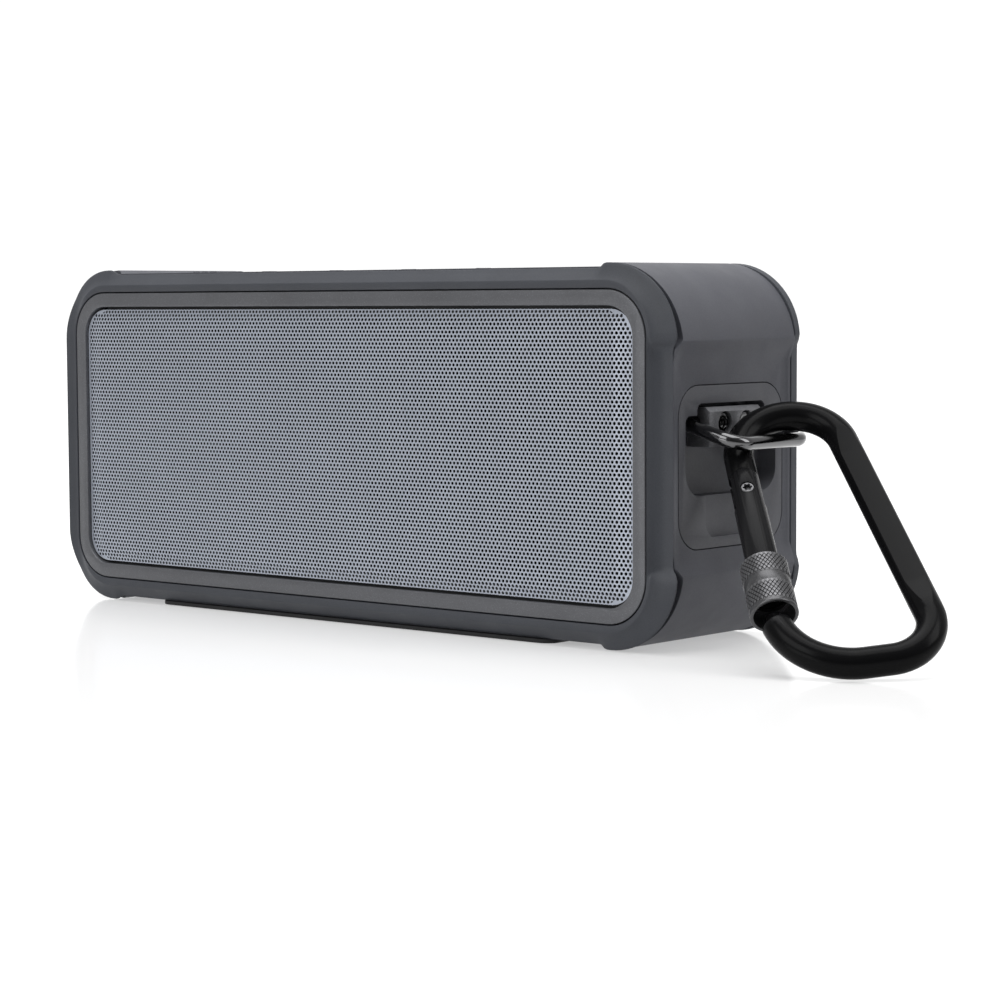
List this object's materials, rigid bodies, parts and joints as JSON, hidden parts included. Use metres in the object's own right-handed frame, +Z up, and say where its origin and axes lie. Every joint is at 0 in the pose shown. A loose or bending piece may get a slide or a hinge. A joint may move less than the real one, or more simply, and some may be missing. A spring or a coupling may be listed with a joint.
{
  "type": "shower speaker",
  "caption": "Rugged shower speaker with a perforated metal front, rubber bumpers, a hinged wire bail and a screw-lock carabiner at one end.",
  "frame": {"origin": "middle of the foot on the surface it stands on", "axes": "+X along the length to the end with the carabiner, +Y to the back, +Z up; the grille faces -Y"},
  "size_m": [0.2402, 0.0565, 0.0781],
  "materials": {
    "bumper_rubber": "soft satin",
    "sleeve_rubber": "soft satin",
    "bezel_paint": "fine metallic satin",
    "grille_paint": "satin",
    "cloth": "woven",
    "black_plastic": "fine texture",
    "plate_plastic": "fine texture",
    "seal_rubber": "matt",
    "basket_paint": "satin",
    "ferrite": "matt",
    "plated_steel": "satin",
    "cone_paper": "pressed",
    "cap_metal": "satin",
    "battery_wrap": "gloss",
    "circuit_board": "gloss",
    "bracket_metal": "satin",
    "bail_wire": "gloss",
    "carabiner_black": "black anodised, satin",
    "lock_black": "black anodised, knurled"
  },
  "bodies": {
    "housing": {"front_bumper": "bumper_rubber", "rear_bumper": "bumper_rubber", "body_sleeve": "sleeve_rubber", "inner_shell": "black_plastic", "front_gasket": "seal_rubber", "rear_gasket": "seal_rubber", "front_baffle": "black_plastic", "front_bezel": "bezel_paint", "front_grille": "grille_paint", "acoustic_cloth": "cloth", "rear_cover": "black_plastic", "rear_screws": "plated_steel", "port_board": "circuit_board", "usb_socket": "plated_steel", "aux_socket": "black_plastic", "radiator_surround": "seal_rubber", "left_driver_basket": "basket_paint", "left_driver_magnet": "ferrite", "left_driver_yoke": "plated_steel", "left_surround": "seal_rubber", "right_driver_basket": "basket_paint", "right_driver_magnet": "ferrite", "right_driver_yoke": "plated_steel", "right_surround": "seal_rubber", "driver_screws": "plated_steel", "battery_cradle": "black_plastic", "battery_pack": "battery_wrap", "main_board": "circuit_board", "key_board": "circuit_board", "foot_pad": "seal_rubber", "end_plate": "plate_plastic", "bail_bracket": "bracket_metal", "bracket_screws": "plated_steel"},
    "bail": {"bail": "bail_wire"},
    "carabiner": {"carabiner_body": "carabiner_black"},
    "gate": {"carabiner_gate": "carabiner_black", "gate_rivet": "plated_steel", "gate_plunger": "plated_steel"},
    "lock": {"lock_sleeve": "lock_black"},
    "power_button": {"power_key": "sleeve_rubber"},
    "bluetooth_button": {"bluetooth_key": "sleeve_rubber"},
    "play_button": {"play_key": "sleeve_rubber"},
    "volume_down_button": {"volume_down_key": "sleeve_rubber"},
    "volume_up_button": {"volume_up_key": "sleeve_rubber"},
    "port_cover": {"port_flap": "sleeve_rubber"},
    "left_diaphragm": {"left_cone": "cone_paper", "left_dust_cap": "cap_metal"},
    "right_diaphragm": {"right_cone": "cone_paper", "right_dust_cap": "cap_metal"},
    "bass_radiator": {"radiator_plate": "black_plastic"}
  },
  "joints": [
    {"name": "bail_hinge", "type": "hinge", "parent": "housing", "child": "bail", "pos_m": [0.0873, 0, 0.0457], "axis": [0, -1, 0], "range_deg": [-3, 16]},
    {"name": "carabiner_swing", "type": "hinge", "parent": "bail", "child": "carabiner", "pos_m": [0.0999, 0, 0.0421], "axis": [0, -1, 0], "range_deg": [-20, 75]},
    {"name": "gate_hinge", "type": "hinge", "parent": "carabiner", "child": "gate", "pos_m": [0.10256, -0.01208, 0.03154], "axis": [0.3736, -0.5526, 0.745], "range_deg": [0, 24], "stiffness_Nm_per_rad": 0.06},
    {"name": "lock_slide", "type": "slide", "parent": "gate", "child": "lock", "axis": [0.5597, -0.5062, -0.6561], "range_m": [0, 0.0026]},
    {"name": "power_press", "type": "slide", "parent": "housing", "child": "power_button", "axis": [0, 0, -1], "range_m": [0, 0.0005], "stiffness_N_per_m": 1500},
    {"name": "bluetooth_press", "type": "slide", "parent": "housing", "child": "bluetooth_button", "axis": [0, 0, -1], "range_m": [0, 0.0005], "stiffness_N_per_m": 1500},
    {"name": "play_press", "type": "slide", "parent": "housing", "child": "play_button", "axis": [0, 0, -1], "range_m": [0, 0.0005], "stiffness_N_per_m": 1500},
    {"name": "volume_down_press", "type": "slide", "parent": "housing", "child": "volume_down_button", "axis": [0, 0, -1], "range_m": [0, 0.0005], "stiffness_N_per_m": 1500},
    {"name": "volume_up_press", "type": "slide", "parent": "housing", "child": "volume_up_button", "axis": [0, 0, -1], "range_m": [0, 0.0005], "stiffness_N_per_m": 1500},
    {"name": "port_cover_hinge", "type": "hinge", "parent": "housing", "child": "port_cover", "pos_m": [-0.05, 0.0215, 0.0147], "axis": [-1, 0, 0], "range_deg": [0, 95]},
    {"name": "left_diaphragm_travel", "type": "slide", "parent": "housing", "child": "left_diaphragm", "axis": [0, -1, 0], "range_m": [-0.0008, 0.0008], "stiffness_N_per_m": 2000, "deforming": ["left_surround"]},
    {"name": "right_diaphragm_travel", "type": "slide", "parent": "housing", "child": "right_diaphragm", "axis": [0, -1, 0], "range_m": [-0.0008, 0.0008], "stiffness_N_per_m": 2000, "deforming": ["right_surround"]},
    {"name": "bass_radiator_travel", "type": "slide", "parent": "housing", "child": "bass_radiator", "axis": [0, 1, 0], "range_m": [-0.0006, 0.0006], "stiffness_N_per_m": 2000}
  ]
}
